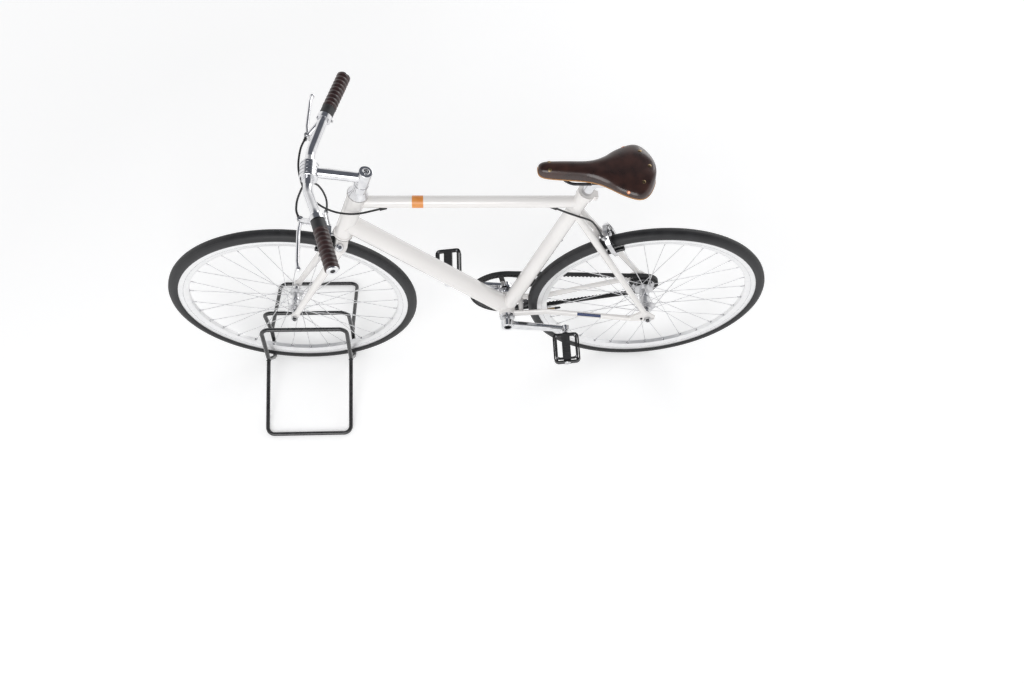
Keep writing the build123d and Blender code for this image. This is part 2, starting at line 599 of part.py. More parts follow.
def crank_arm(eye):
    """Arm on the left side: boss, tapering bar and pedal eye."""
    boss = cross(BB_X, BB_Z, 19, ARM_FROM_Y, ARM_TO_Y)
    low, high = PEDAL_Y - EYE_W / 2, PEDAL_Y + EYE_W / 2
    end = cross(eye.X, eye.Z, EYE_R, low, high)
    way = (eye - BB).normalized()
    side = Plane(origin=BB + Vector(0, ARM_FROM_Y, 0), x_dir=(0, 1, 0), z_dir=way)
    tip = side.offset(CRANK)
    bar = loft([side * Pos(9, 0) * RectangleRounded(15, 32, 4),
                tip * Pos(PEDAL_Y - ARM_FROM_Y, 0) * RectangleRounded(EYE_W - 2, 22, 4)])
    axle_bore = cross(BB_X, BB_Z, CRANK_AXLE_R, 0, AXLE_END_Y)
    return boss + bar + end - axle_bore - cross(eye.X, eye.Z, PEDAL_AXLE_R, 0, 99)


SPIDER_R, SPIDER_T = 65.0, 5.0
RING_FROM_Y = BELT_Y - 2


def spider():
    disc = cross(BB_X, BB_Z, 28, RING_FROM_Y - 8, RING_FROM_Y)
    arms = [slab(hull((BB_X, BB_Z, 9), (BB_X + SPIDER_R * cos(a), BB_Z + SPIDER_R * sin(a), 7)),
                 RING_FROM_Y - SPIDER_T, RING_FROM_Y)
            for a in (radians(72 * k + CRANK_DROP) for k in range(5))]
    return disc + arms - cross(BB_X, BB_Z, CRANK_AXLE_R, -90, 0)


def tooth_gaps(centre, r, teeth):
    """The gaps between the teeth of a belt wheel, all round its rim."""
    gap = Pos(r, BELT_Y, 0) * Box(2 * TOOTH_H, BELT_W + 1, BELT_PITCH - TOOTH_W)
    return [Pos(centre.X, 0, centre.Z) * Rot(0, 360 * k / teeth, 0) * gap for k in range(teeth)]


def chainring():
    """Toothed rim wide enough for the belt, on five tabs bolted behind the spider."""
    band = cross(BB_X, BB_Z, RING_R, BELT_Y - BELT_W / 2, BELT_Y + BELT_W / 2)
    tabs = [slab(hull((BB_X + SPIDER_R * cos(a), BB_Z + SPIDER_R * sin(a), 7),
                      (BB_X + 91 * cos(a), BB_Z + 91 * sin(a), 7)), RING_FROM_Y, RING_FROM_Y + 4)
            for a in (radians(72 * k + CRANK_DROP) for k in range(5))]
    return band - cross(BB_X, BB_Z, 94, -90, 0) + tabs - tooth_gaps(BB, RING_R, RING_TEETH)


write("crank_left", crank_arm(left_eye) - cross(BB_X, BB_Z, EXTRACTOR_R, AXLE_END_Y, 90))
write("crank_right", mirrored(crank_arm(right_eye)) + spider())
write("chainring", chainring())
PEDAL_AXLE_END = 178.0
shank = cross(left_eye.X, left_eye.Z, PEDAL_AXLE_R, PEDAL_Y - EYE_W / 2, PEDAL_AXLE_END)
far_shank = cross(right_eye.X, right_eye.Z, PEDAL_AXLE_R, -PEDAL_AXLE_END, -PEDAL_Y + EYE_W / 2)
write("pedal_axles", shank, far_shank)


def sprocket():
    """Rear toothed wheel with the body that carries it, running on the axle."""
    wheel = cross(REAR_X, AXLE_Z, COG_R, BELT_Y - BELT_W / 2, BELT_Y + BELT_W / 2)
    body = cross(REAR_X, AXLE_Z, 17, -57, -31.5)
    bore = cross(REAR_X, AXLE_Z, AXLE_R + RUN_FIT, -90, 0)
    return (wheel - tooth_gaps(REAR_AXLE, COG_R, COG_TEETH)) + body - bore


def belt():
    """Loop around both wheels, with its teeth on the inside of the two straight runs."""
    inner_front, inner_rear = RING_R + BELT_GAP, COG_R + BELT_GAP
    loop = [slab(hull((BB_X, BB_Z, inner_front + t), (REAR_X, AXLE_Z, inner_rear + t)),
                 BELT_Y - BELT_W / 2, BELT_Y + BELT_W / 2) for t in (BELT_T, 0)]
    between = BB - REAR_AXLE
    lean = asin((inner_front - inner_rear) / between.length)
    run = between.length * cos(lean)
    first, last = [(2 * r * TOOTH_H) ** 0.5 + TOOTH_W for r in (COG_R, RING_R)]
    teeth = []
    for side in (1, -1):
        along = between.normalized().rotate(Axis.Y, -side * degrees(lean))
        out = along.cross(Vector(0, side, 0))
        start = REAR_AXLE + out * inner_rear + Vector(0, BELT_Y, 0)
        for k in range(int((run - first - last) / BELT_PITCH) + 1):
            plane = Plane(origin=start + along * (first + k * BELT_PITCH), x_dir=along, z_dir=out)
            teeth.append(plane * Box(TOOTH_W, BELT_W, 2 * TOOTH_H))
    return (loop[0] - loop[1]) + [tooth & loop[0] for tooth in teeth]


write("rear_sprocket", sprocket())
write("belt", belt())


# ---------------------------------------------------------------- pedals
PEDAL_IN_Y, PEDAL_OUT_Y = 90.0, 182.0
PEDAL_L = 76.0             # of the cage, along the bicycle
PLATE_L, PLATE_T = 66.0, 5.0
PLATE_SPINE = 24.0
CAGE_H, CAGE_T = 16.0, 4.0
PEDAL_TILT = 10.0          # degrees that the pedals hang forward


def ring_plate(length, width, bar, thick):
    """Flat plate with rounded corners, open inside its rim."""
    rim_face = RectangleRounded(length, width, 14) - RectangleRounded(length - 2 * bar, width - 2 * bar, 10)
    return extrude(rim_face, thick)


def pedal_parts():
    """Metal cage around the barrel, and the tread plate that lies on it, about the pedal's axis."""
    width = PEDAL_OUT_Y - PEDAL_IN_Y
    middle = (PEDAL_IN_Y + PEDAL_OUT_Y) / 2
    top = CAGE_H / 2 + 3
    barrel = cross(0, 0, 11, PEDAL_IN_Y - 3, PEDAL_OUT_Y)
    cage = Pos(0, middle, top - CAGE_H) * ring_plate(PEDAL_L, width, CAGE_T, CAGE_H)
    web = Pos(0, middle, 0) * Box(PLATE_SPINE - 4, width - 2, 2 * top - 2)
    bore = cross(0, 0, PEDAL_AXLE_R + RUN_FIT, PEDAL_IN_Y - 9, PEDAL_OUT_Y - 2)
    spine = Pos(0, 0, PLATE_T / 2) * Box(PLATE_SPINE, width - 14, PLATE_T)
    tread = Pos(0, middle, top) * (ring_plate(PLATE_L, width - 12, 5.5, PLATE_T) + spine)
    stays = [Pos(x, middle, top - 3) * Box(6, width - 2, 6) for x in (-PLATE_L / 2 + 4, PLATE_L / 2 - 4)]
    return cage + web + barrel + stays - bore, tread


def write_pedal(name, eye, side):
    place = Pos(eye.X, 0, eye.Z) * Rot(0, PEDAL_TILT, 0)
    for node, shape in zip((f"pedal_{name}", f"pedal_tread_{name}"), pedal_parts()):
        write(node, place * (shape if side > 0 else mirrored(shape)))


write_pedal("left", left_eye, 1)
write_pedal("right", right_eye, -1)

# ---------------------------------------------------------------- brake cables
# The left lever pulls the front brake, the right lever the rear one through the top tube.
front_top = FRONT_AXLE + AHEAD * FRONT_PULL.X + UP * (FRONT_PULL.Z + BARREL_L) + Vector(0, FRONT_PULL.Y, 0)
rear_top = (REAR_AXLE + BEHIND * REAR_PULL.X + BRIDGE_DIR * (REAR_PULL.Z + BARREL_L)
            - Vector(0, REAR_PULL.Y, 0))
FRONT_ROUTE = [BARREL_END, (408, 95, 905), (409, 67, 903), (406, 39, 895), (400, 12, 890),
               (390, -13, 870), (377, -27, 845), (369, -35, 810), (365, -37, 775), (367, -40, 745),
               front_top]
LEAD_ROUTE = [(400, -114, 905), (408, -95, 906), (412, -64, 905), (413, -33, 900), (409, -11, 888),
              (402, 8, 871), (388, 21, 858), (372, 31, 845), (354, 36, 832), (330, 37, 818), (301, 33, 806),
              (276, 27, 801), (254, 20, 800), (232.3, 14.1, 800.5)]
REAR_ROUTE = [(-198, 11, 796.5), (-222, 20, 793), (-246, 27, 789), (-268, 29, 781), (-286, 27, 768),
              (-300, 25, 745), (-313, 23, 718), rear_top]
PORT_R, PORT_L = 4.5, 18.0


def port(mouth, outside):
    """Sleeve that takes a cable into the top tube, in line with the cable's last run."""
    way = (Vector(mouth) - Vector(outside)).normalized()
    return rod(mouth, Vector(mouth) + way * PORT_L, PORT_R) - top_tube


write("cable_ports", port(LEAD_ROUTE[-1], LEAD_ROUTE[-2]), port(REAR_ROUTE[0], REAR_ROUTE[1]))
write("front_brake_cable", cable("front_brake_cable", FRONT_ROUTE))
write("rear_cable_lead", cable("rear_cable_lead", LEAD_ROUTE))
write("rear_brake_cable", cable("rear_brake_cable", REAR_ROUTE))


# ---------------------------------------------------------------- wheel stand
STAND_X = FRONT_X - STAND_BACK


def stand_x(side):
    return STAND_X + side * STAND_HALF


def stand_cradle():
    """Bent loop on both sides of the tyre, which passes under it front and rear."""
    x = stand_x(1)
    half = swept([(STAND_X, *LOOP_NEAR_TOP), (x, *LOOP_NEAR_TOP), (x, *LOOP_NEAR_BEND),
                  (x, *LOOP_NEAR_FOOT), (x, *LOOP_FAR_FOOT), (x, *LOOP_FAR_BEND),
                  (x, *LOOP_FAR_TOP), (STAND_X, *LOOP_FAR_TOP)], [22, 25, 20, 20, 30, 22], LOOP_R)
    return half + mirror(half, about=Plane.YZ.offset(STAND_X))


def stand_leg(root, foot_y):
    """Hoop on the floor beside the wheel, welded to the loop at both ends."""
    a, b = stand_x(-1), stand_x(1)
    return swept([(a, *root), (a, foot_y, LEG_R), (b, foot_y, LEG_R), (b, *root)], [21, 21], LEG_R)


cradle_loop = stand_cradle()
write("stand_cradle", cradle_loop)
write("stand_leg_near", stand_leg(LEG_NEAR_ROOT, LEG_NEAR_FOOT) - cradle_loop)
write("stand_leg_far", stand_leg(LEG_FAR_ROOT, LEG_FAR_FOOT) - cradle_loop)
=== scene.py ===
from math import cos, pi, radians, sin

import bmesh
import bpy
from mathutils import Matrix, Vector
from mathutils.bvhtree import BVHTree

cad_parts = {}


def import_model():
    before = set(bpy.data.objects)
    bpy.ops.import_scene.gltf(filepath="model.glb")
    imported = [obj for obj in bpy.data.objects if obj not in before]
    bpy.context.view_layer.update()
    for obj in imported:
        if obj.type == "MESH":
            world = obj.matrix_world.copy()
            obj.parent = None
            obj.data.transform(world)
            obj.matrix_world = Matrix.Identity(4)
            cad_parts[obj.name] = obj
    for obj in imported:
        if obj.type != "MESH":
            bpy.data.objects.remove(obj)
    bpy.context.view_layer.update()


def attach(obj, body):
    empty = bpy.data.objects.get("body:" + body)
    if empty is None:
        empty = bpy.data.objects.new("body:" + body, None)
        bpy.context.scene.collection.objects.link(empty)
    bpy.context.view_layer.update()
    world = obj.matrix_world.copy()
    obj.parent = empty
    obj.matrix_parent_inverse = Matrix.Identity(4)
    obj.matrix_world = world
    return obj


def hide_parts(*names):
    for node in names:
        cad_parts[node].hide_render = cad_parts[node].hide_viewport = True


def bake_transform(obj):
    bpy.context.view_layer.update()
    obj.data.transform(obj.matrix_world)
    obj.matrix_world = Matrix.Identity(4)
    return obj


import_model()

# Directions: x runs forward, y to the bicycle's left and z up.
X, Y, Z = Vector((1, 0, 0)), Vector((0, 1, 0)), Vector((0, 0, 1))
SIDES = (("left", 1), ("right", -1))

# Places shared with the solids, in millimetres.
FRONT_HUB, REAR_HUB = Vector((504, 0, 343)), Vector((-504, 0, 343))
BOTTOM_BRACKET = Vector((-101, 0, 300))
STEER_FOOT = Vector((448.839, 0, 325.077))
STEER_UP, STEER_AHEAD = Vector((-0.3090170, 0, 0.9510565)), Vector((0.9510565, 0, 0.3090170))
SEAT_DIR = Vector((-0.2856849, 0, 0.9583237))
FORK_RAKE = 58
RIM_R, RIM_IN_R, RIM_W, BRAKE_TRACK = 317.0, 288.0, 21.0, 14.0
TYRE_R, TYRE_SECTION_R = 343.0, 16
TOP_TUBE_Z, TOP_TUBE_R = 811.07, 15.0
BAR_OUT = Vector((-sin(radians(16.7)), cos(radians(16.7)), 0))
BAR_BEND = Vector((357.5, 128, 942))
LEVER_PIVOT = Vector((396, 120, 905))
BARREL_END = Vector((400, 114, 905))
BARREL_WAY = Vector((8, -19, 0)).normalized()
CRANK_L, CRANK_DROP = 170, 5.5
SADDLE_TOP, SADDLE_NOSE_X, SADDLE_L, SADDLE_HALF_W = 951.07, -141.28, 274.0, 77.0


def steer(station, ahead=0.0, across=0.0):
    """Place at a station along the steering axis, ahead of it and to its left."""
    return STEER_FOOT + STEER_UP * station + STEER_AHEAD * ahead + Y * across


def seat_axis(height):
    """Place on the seat tube's axis, at a height over the floor."""
    return BOTTOM_BRACKET + SEAT_DIR * ((height - BOTTOM_BRACKET.z) / SEAT_DIR.z)


def along_bar(across):
    """Place on the axis of the bar's left grip, at a distance from the middle plane."""
    return BAR_BEND + BAR_OUT * ((across - BAR_BEND.y) / BAR_OUT.y)


def sided(v, sign):
    """A place or direction on the left, or its mirror image for the sign -1."""
    return Vector((v.x, v.y * sign, v.z))


# ---------------------------------------------------------------- materials
COAT_ROUGH = 0.06


def material(name, color, rough, metal=0.0, coat=0.0):
    """Principled material with its plain values set; returns it with its tree and shader."""
    mat = bpy.data.materials.new(name)
    mat.use_nodes = True
    tree = mat.node_tree
    shader = tree.nodes["Principled BSDF"]
    shader.inputs["Base Color"].default_value = (*color, 1)
    shader.inputs["Roughness"].default_value = rough
    shader.inputs["Metallic"].default_value = metal
    shader.inputs["Coat Weight"].default_value = coat
    shader.inputs["Coat Roughness"].default_value = COAT_ROUGH
    return mat, tree, shader


def noise(tree, scale, detail):
    """Noise through the object's own metres."""
    coords = tree.nodes.new("ShaderNodeTexCoord")
    texture = tree.nodes.new("ShaderNodeTexNoise")
    texture.inputs["Scale"].default_value = scale
    texture.inputs["Detail"].default_value = detail
    tree.links.new(coords.outputs["Object"], texture.inputs["Vector"])
    return texture.outputs["Fac"]


def ramp(tree, fac, low, high, start=0.3, end=0.7):
    """Colour that goes from low to high between two values."""
    node = tree.nodes.new("ShaderNodeValToRGB")
    node.color_ramp.elements[0].position = start
    node.color_ramp.elements[1].position = end
    node.color_ramp.elements[0].color = (*low, 1)
    node.color_ramp.elements[1].color = (*high, 1)
    tree.links.new(fac, node.inputs["Fac"])
    return node.outputs["Color"]


def spread(tree, value, low, high, start=0.0, end=1.0):
    """Value that goes from low to high between two values."""
    node = tree.nodes.new("ShaderNodeMapRange")
    node.inputs["From Min"].default_value = start
    node.inputs["From Max"].default_value = end
    node.inputs["To Min"].default_value = low
    node.inputs["To Max"].default_value = high
    tree.links.new(value, node.inputs["Value"])
    return node.outputs["Result"]


def combine(tree, operation, first, second, clamp=False):
    """Two values brought together by a math node."""
    node = tree.nodes.new("ShaderNodeMath")
    node.operation = operation
    node.use_clamp = clamp
    tree.links.new(first, node.inputs[0])
    tree.links.new(second, node.inputs[1])
    return node.outputs[0]


def bump(tree, shader, height, strength, distance):
    """Fine relief on a shader from a height value."""
    node = tree.nodes.new("ShaderNodeBump")
    node.inputs["Strength"].default_value = strength
    node.inputs["Distance"].default_value = distance
    tree.links.new(height, node.inputs["Height"])
    tree.links.new(node.outputs["Normal"], shader.inputs["Normal"])


def varied(name, low, high, rough, metal=0.0, coat=0.0, scale=30.0, bumps=None):
    """Material whose colour and roughness drift a little.

    A fine bump is given by its noise's scale, its strength and its depth in metres."""
    mat, tree, shader = material(name, high, rough[0], metal, coat)
    drift = noise(tree, scale, 4.0)
    tree.links.new(ramp(tree, drift, low, high), shader.inputs["Base Color"])
    tree.links.new(spread(tree, drift, *rough), shader.inputs["Roughness"])
    if bumps:
        grain_scale, strength, distance = bumps
        bump(tree, shader, noise(tree, grain_scale, 2.0), strength, distance)
    return mat


WHITE = varied("white_enamel", (0.84, 0.815, 0.795), (0.88, 0.86, 0.845), (0.16, 0.24), coat=0.6,
               scale=6, bumps=(260, 0.03, 0.0004))
POLISHED = varied("polished_alloy", (0.66, 0.66, 0.68), (0.8, 0.8, 0.81), (0.06, 0.14), metal=1.0,
                  scale=60, bumps=(500, 0.02, 0.0002))
SATIN = varied("satin_alloy", (0.84, 0.84, 0.85), (0.9, 0.9, 0.9), (0.3, 0.38), metal=0.6,
               scale=90, bumps=(900, 0.05, 0.0002))
STEEL = varied("bright_steel", (0.5, 0.5, 0.51), (0.66, 0.66, 0.67), (0.12, 0.25), metal=1.0,
               scale=120)
DARK_STEEL = varied("dark_steel", (0.035, 0.035, 0.038), (0.08, 0.08, 0.085), (0.25, 0.4), metal=0.9,
                    scale=120)
TYRE = varied("tyre_rubber", (0.009, 0.009, 0.01), (0.022, 0.022, 0.024), (0.45, 0.65),
              scale=40, bumps=(900, 0.15, 0.0004))
BLACK = varied("black_anodised", (0.01, 0.01, 0.011), (0.022, 0.022, 0.024), (0.3, 0.42), metal=0.3,
               scale=80, bumps=(1200, 0.05, 0.0002))
BELT = varied("belt_rubber", (0.009, 0.009, 0.01), (0.018, 0.018, 0.019), (0.5, 0.65),
              scale=80, bumps=(1400, 0.1, 0.0003))
RESIN = varied("black_resin", (0.02, 0.02, 0.022), (0.036, 0.036, 0.038), (0.42, 0.55),
               scale=90, bumps=(700, 0.2, 0.0004))
JACKET = varied("cable_jacket", (0.008, 0.008, 0.009), (0.016, 0.016, 0.017), (0.3, 0.4),
                scale=120, bumps=(1500, 0.05, 0.0002))
STAND = varied("stand_paint", (0.012, 0.012, 0.013), (0.03, 0.03, 0.032), (0.2, 0.34), coat=0.4,
               scale=60, bumps=(500, 0.03, 0.0003))
SPOKE = varied("spoke_steel", (0.58, 0.58, 0.59), (0.76, 0.76, 0.77), (0.26, 0.4), metal=0.8,
               scale=90)
LEATHER = varied("dark_leather", (0.02, 0.0075, 0.0055), (0.052, 0.018, 0.012), (0.22, 0.38), coat=0.35,
                 scale=38, bumps=(380, 0.2, 0.0005))
GRIP = varied("grip_leather", (0.018, 0.0075, 0.0075), (0.052, 0.021, 0.02), (0.26, 0.42), coat=0.2,
              scale=90, bumps=(520, 0.3, 0.0005))
TAN = varied("cut_leather", (0.36, 0.17, 0.06), (0.5, 0.27, 0.11), (0.5, 0.65),
             scale=200, bumps=(900, 0.2, 0.0003))
COPPER = varied("copper", (0.4, 0.17, 0.1), (0.6, 0.28, 0.18), (0.22, 0.36), metal=1.0, scale=300)
BRASS = varied("aged_brass", (0.16, 0.11, 0.06), (0.34, 0.25, 0.14), (0.25, 0.4), metal=1.0, scale=300)
ORANGE = varied("orange_paint", (0.72, 0.25, 0.05), (0.8, 0.32, 0.08), (0.3, 0.4), coat=0.3, scale=50)
BLUE = varied("blue_label", (0.008, 0.022, 0.09), (0.014, 0.036, 0.13), (0.34, 0.44), coat=0.1, scale=60)

DRESS = {
    WHITE: ["head_tube", "headset_cups", "top_tube", "down_tube", "seat_tube", "bottom_bracket_shell",
            "chain_stay_left", "chain_stay_right", "seat_stay_left", "seat_stay_right", "stay_bridges",
            "dropouts", "fork_crown", "fork_blade_left", "fork_blade_right", "seat_clamp"],
    POLISHED: ["stem", "headset_spacers", "handlebar", "seatpost", "crank_left", "crank_right",
               "bearing_cups", "brake_lever_left", "brake_lever_right"],
    SATIN: ["front_rim", "rear_rim"],
    STEEL: ["front_axle", "rear_axle", "crank_axle", "pedal_axles", "front_brake", "rear_brake"],
    DARK_STEEL: ["saddle_rails"],
    TYRE: ["front_tyre", "rear_tyre"],
    BLACK: ["chainring", "rear_sprocket", "pedal_left", "pedal_right"],
    BELT: ["belt"],
    RESIN: ["grip_collar_left", "grip_collar_right", "pedal_tread_left", "pedal_tread_right"],
    JACKET: ["front_brake_cable", "rear_brake_cable", "cable_ports"],
    STAND: ["stand_cradle", "stand_leg_near", "stand_leg_far"],
    SPOKE: ["front_hub_and_spokes", "rear_hub_and_spokes"],
    LEATHER: ["saddle"],
    GRIP: ["grip_left", "grip_right"],
}


def dress_solids():
    """Gives each solid its one finish."""
    for finish, nodes in DRESS.items():
        for node in nodes:
            solid = bpy.data.objects[node]
            solid.data.materials.clear()
            solid.data.materials.append(finish)


# ---------------------------------------------------------------- mesh helpers
MILLIMETRE = 0.001
SHARP_ANGLE = radians(38)


def placed(name, data):
    """New object with the given data, linked to the scene."""
    obj = bpy.data.objects.new(name, data)
    bpy.context.collection.objects.link(obj)
    return obj


def add(name, mesh, mat, body):
    """Makes a piece from a bmesh in millimetres and puts it on its body."""
    data = bpy.data.meshes.new(name)
    bmesh.ops.recalc_face_normals(mesh, faces=mesh.faces)
    bmesh.ops.scale(mesh, vec=(MILLIMETRE, MILLIMETRE, MILLIMETRE), verts=mesh.verts)
    mesh.to_mesh(data)
    mesh.free()
    data.materials.append(mat)
    data.shade_smooth()
    data.set_sharp_from_angle(angle=SHARP_ANGLE)
    piece = placed(name, data)
    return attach(piece, body)


def axes(way):
    """The unit direction and two directions square to it."""
    way = Vector(way).normalized()
    aside = way.cross(Z if abs(way.z) < 0.9 else X).normalized()
    return way, aside, way.cross(aside)


def turns(steps):
    """Angles of a full turn in equal steps."""
    return [2 * pi * k / steps for k in range(steps)]


def skin(mesh, rings, looped=False):
    """Faces between neighbouring rings of corners; a ring of one corner is a tip."""
    steps = max(len(corners) for corners in rings)
    for low, high in zip(rings, rings[1:] + (rings[:1] if looped else [])):
        for k in range(steps):
            corners = [low[k % len(low)], low[(k + 1) % steps % len(low)],
                       high[(k + 1) % steps % len(high)], high[k % len(high)]]
            corners = list(dict.fromkeys(corners))
            if len(corners) > 2:
                mesh.faces.new(corners)


def lathe_into(mesh, at, way, profile, steps=24):
    """Adds a turned piece; the profile is (radius, height) and closes through its axis or on itself."""
    way, a, b = axes(way)
    rings = []
    for r, h in profile:
        if r == 0:
            rings.append([mesh.verts.new(at + way * h)])
        else:
            rings.append([mesh.verts.new(at + way * h + (a * cos(t) + b * sin(t)) * r)
                          for t in turns(steps)])
    skin(mesh, rings, looped=profile[0][0] != 0)


def lathe(name, at, way, profile, mat, body, steps=24):
    """One turned piece on its body."""
    mesh = bmesh.new()
    lathe_into(mesh, at, way, profile, steps)
    return add(name, mesh, mat, body)


def ring(name, at, way, r_in, r_out, height, mat, body, steps=48):
    """Band with softened outer edges, between two radii and as high as given."""
    edge = min(0.3, height / 4, (r_out - r_in) / 3)
    profile = [(r_in, 0), (r_out - edge, 0), (r_out, edge), (r_out, height - edge), (r_out - edge, height),
               (r_in, height)]
    return lathe(name, at, way, profile, mat, body, steps)


def bolt(name, at, way, r, height, mat, body):
    """Domed head with a hexagonal socket."""
    mesh = bmesh.new()
    way, a, b = axes(way)
    steps, sixth = 24, pi / 3
    rings = []
    for reach, h, hexed in ((1, -0.5, False), (1, height * 0.55, False), (0.86, height * 0.9, False),
                            (0.62, height, False), (0.5, height * 0.96, True), (0.5, height * 0.45, True)):
        corners = []
        for t in turns(steps):
            flat = cos((t + sixth / 2) % sixth - sixth / 2) if hexed else 1
            corners.append(mesh.verts.new(at + way * h + (a * cos(t) + b * sin(t)) * (r * reach / flat)))
        rings.append(corners)
    skin(mesh, rings)
    for end in (rings[0], rings[-1]):
        mesh.faces.new(end)
    return add(name, mesh, mat, body)


def smooth_path(points, per_run=6, closed=False):
    """Points along a curve that passes through the given ones."""
    count = len(points)
    runs = count if closed else count - 1
    out = []
    for k in range(runs):
        if closed:
            p = [points[(k + d) % count] for d in (-1, 0, 1, 2)]
        else:
            p = [points[max(0, min(count - 1, k + d))] for d in (-1, 0, 1, 2)]
        for s in range(per_run):
            t = s / per_run
            out.append(0.5 * ((2 * p[1]) + (p[2] - p[0]) * t + (2 * p[0] - 5 * p[1] + 4 * p[2] - p[3]) * t * t
                              + (3 * p[1] - p[0] - 3 * p[2] + p[3]) * t ** 3))
    return out if closed else out + [points[-1]]


def tube(name, path, r, mat, body, sides=12, closed=False, flat=1.0):
    """Round or flattened bar along a path; flat is its height against its width."""
    mesh = bmesh.new()
    count = len(path)
    rings = []
    for k, p in enumerate(path):
        before = path[k - 1] if closed or k else p
        after = path[(k + 1) % count] if closed or k < count - 1 else p
        way = (after - before).normalized()
        a = way.cross(Z if abs(way.z) < 0.95 else X).normalized()
        b = a.cross(way)
        rings.append([mesh.verts.new(p + a * (r * cos(t)) + b * (r * flat * sin(t))) for t in turns(sides)])
    skin(mesh, rings, looped=closed)
    if not closed:
        for end in (rings[0], rings[-1]):
            mesh.faces.new(end)
    return add(name, mesh, mat, body)


def block(name, at, size, mat, body, x_dir, z_dir, soft):
    """Block with edges rounded by soft, along its own axes."""
    mesh = bmesh.new()
    bmesh.ops.create_cube(mesh, size=1)
    bmesh.ops.scale(mesh, vec=size, verts=mesh.verts)
    bmesh.ops.bevel(mesh, geom=mesh.edges[:], offset=soft, segments=3, affect="EDGES", profile=0.5)
    turn = Matrix((x_dir, z_dir.cross(x_dir), z_dir)).transposed().to_4x4()
    bmesh.ops.transform(mesh, matrix=Matrix.Translation(at) @ turn, verts=mesh.verts)
    return add(name, mesh, mat, body)


def surface(node):
    """A solid's surface in metres, for seating small pieces on it."""
    obj = bpy.data.objects[node]
    verts = [obj.matrix_world @ v.co for v in obj.data.vertices]
    return BVHTree.FromPolygons(verts, [p.vertices[:] for p in obj.data.polygons])


def seat_on(tree, point, way):
    """Where a line from a point first meets a surface, in millimetres, with the normal there."""
    hit, normal = tree.ray_cast(point * MILLIMETRE, way)[:2]
    return hit * 1000, normal


# ---------------------------------------------------------------- stem, bars and levers
STEM_BOLT_AT, STEM_RIM_AT = 628.6, 631.7
CROWN_OVER, CROWN_CAP_AHEAD, CROWN_CAP_Y, CROWN_CAP_SUNK = 420, 5, 36, 1.2
SEAL_LOW_AT, SEAL_TOP_AT, SEAL_R_IN = 371.4, 543.4, 22.0
CLAMP_X, CLAMP_Z, CLAMP_BOLT_YS = 396.5, 911, (-11, 9)
GRIP_LIP_AT, GRIP_END_AT, PLUG_AT, LEVER_CLAMP_AT = 172.6, 270.6, 277.1, 142.5
STITCHES, STITCH_FROM, STITCH_STEP = 18, 178, 5
STITCH_LEAN = 0.9
SEAM_FROM_AXIS = Vector((-11.6, 0, -11.6))
LEVER_CLAMP_FROM_AXIS, LEVER_PIVOT_UP = Vector((-15.5, 0, -8)), 8
BARREL_BACK, FERRULE_BACK = 7.5, 0.5


def stem():
    """Bolts, seals and caps of the stem, the headset and the fork's crown."""
    bolt("stem_bolt", steer(STEM_BOLT_AT), STEER_UP, 5.3, 3.6, STEEL, "front_end")
    lathe("stem_bolt_rim", steer(STEM_RIM_AT), STEER_UP,
          [(6.2, 0), (9.6, 0), (9.2, 0.6), (7.6, 1.3), (6.4, 0.7)], POLISHED, "front_end", 32)
    ring("headset_seal_low", steer(SEAL_LOW_AT), STEER_UP, SEAL_R_IN, 25.4, 1.4, DARK_STEEL, "frame")
    ring("headset_seal_top", steer(SEAL_TOP_AT), STEER_UP, SEAL_R_IN, 25.3, 1.3, DARK_STEEL, "frame")
    crown = surface("fork_crown")
    for side, sign in SIDES:
        hit, normal = seat_on(crown, steer(CROWN_OVER, CROWN_CAP_AHEAD, CROWN_CAP_Y * sign), -STEER_UP)
        lathe(f"crown_cap_{side}", hit - normal * CROWN_CAP_SUNK, normal,
              [(0, 0), (10.8, 0), (11.2, 1), (10.6, 4), (8.4, 7.2), (5.2, 8.8), (4.2, 7.6), (0, 7.4)],
              POLISHED, "front_end", 28)
    for k, y in enumerate(CLAMP_BOLT_YS):
        bolt(f"clamp_bolt_{k}", Vector((CLAMP_X, y, CLAMP_Z)), Vector((0.7, 0, -0.7)), 4.2, 4.0,
             STEEL, "front_end")


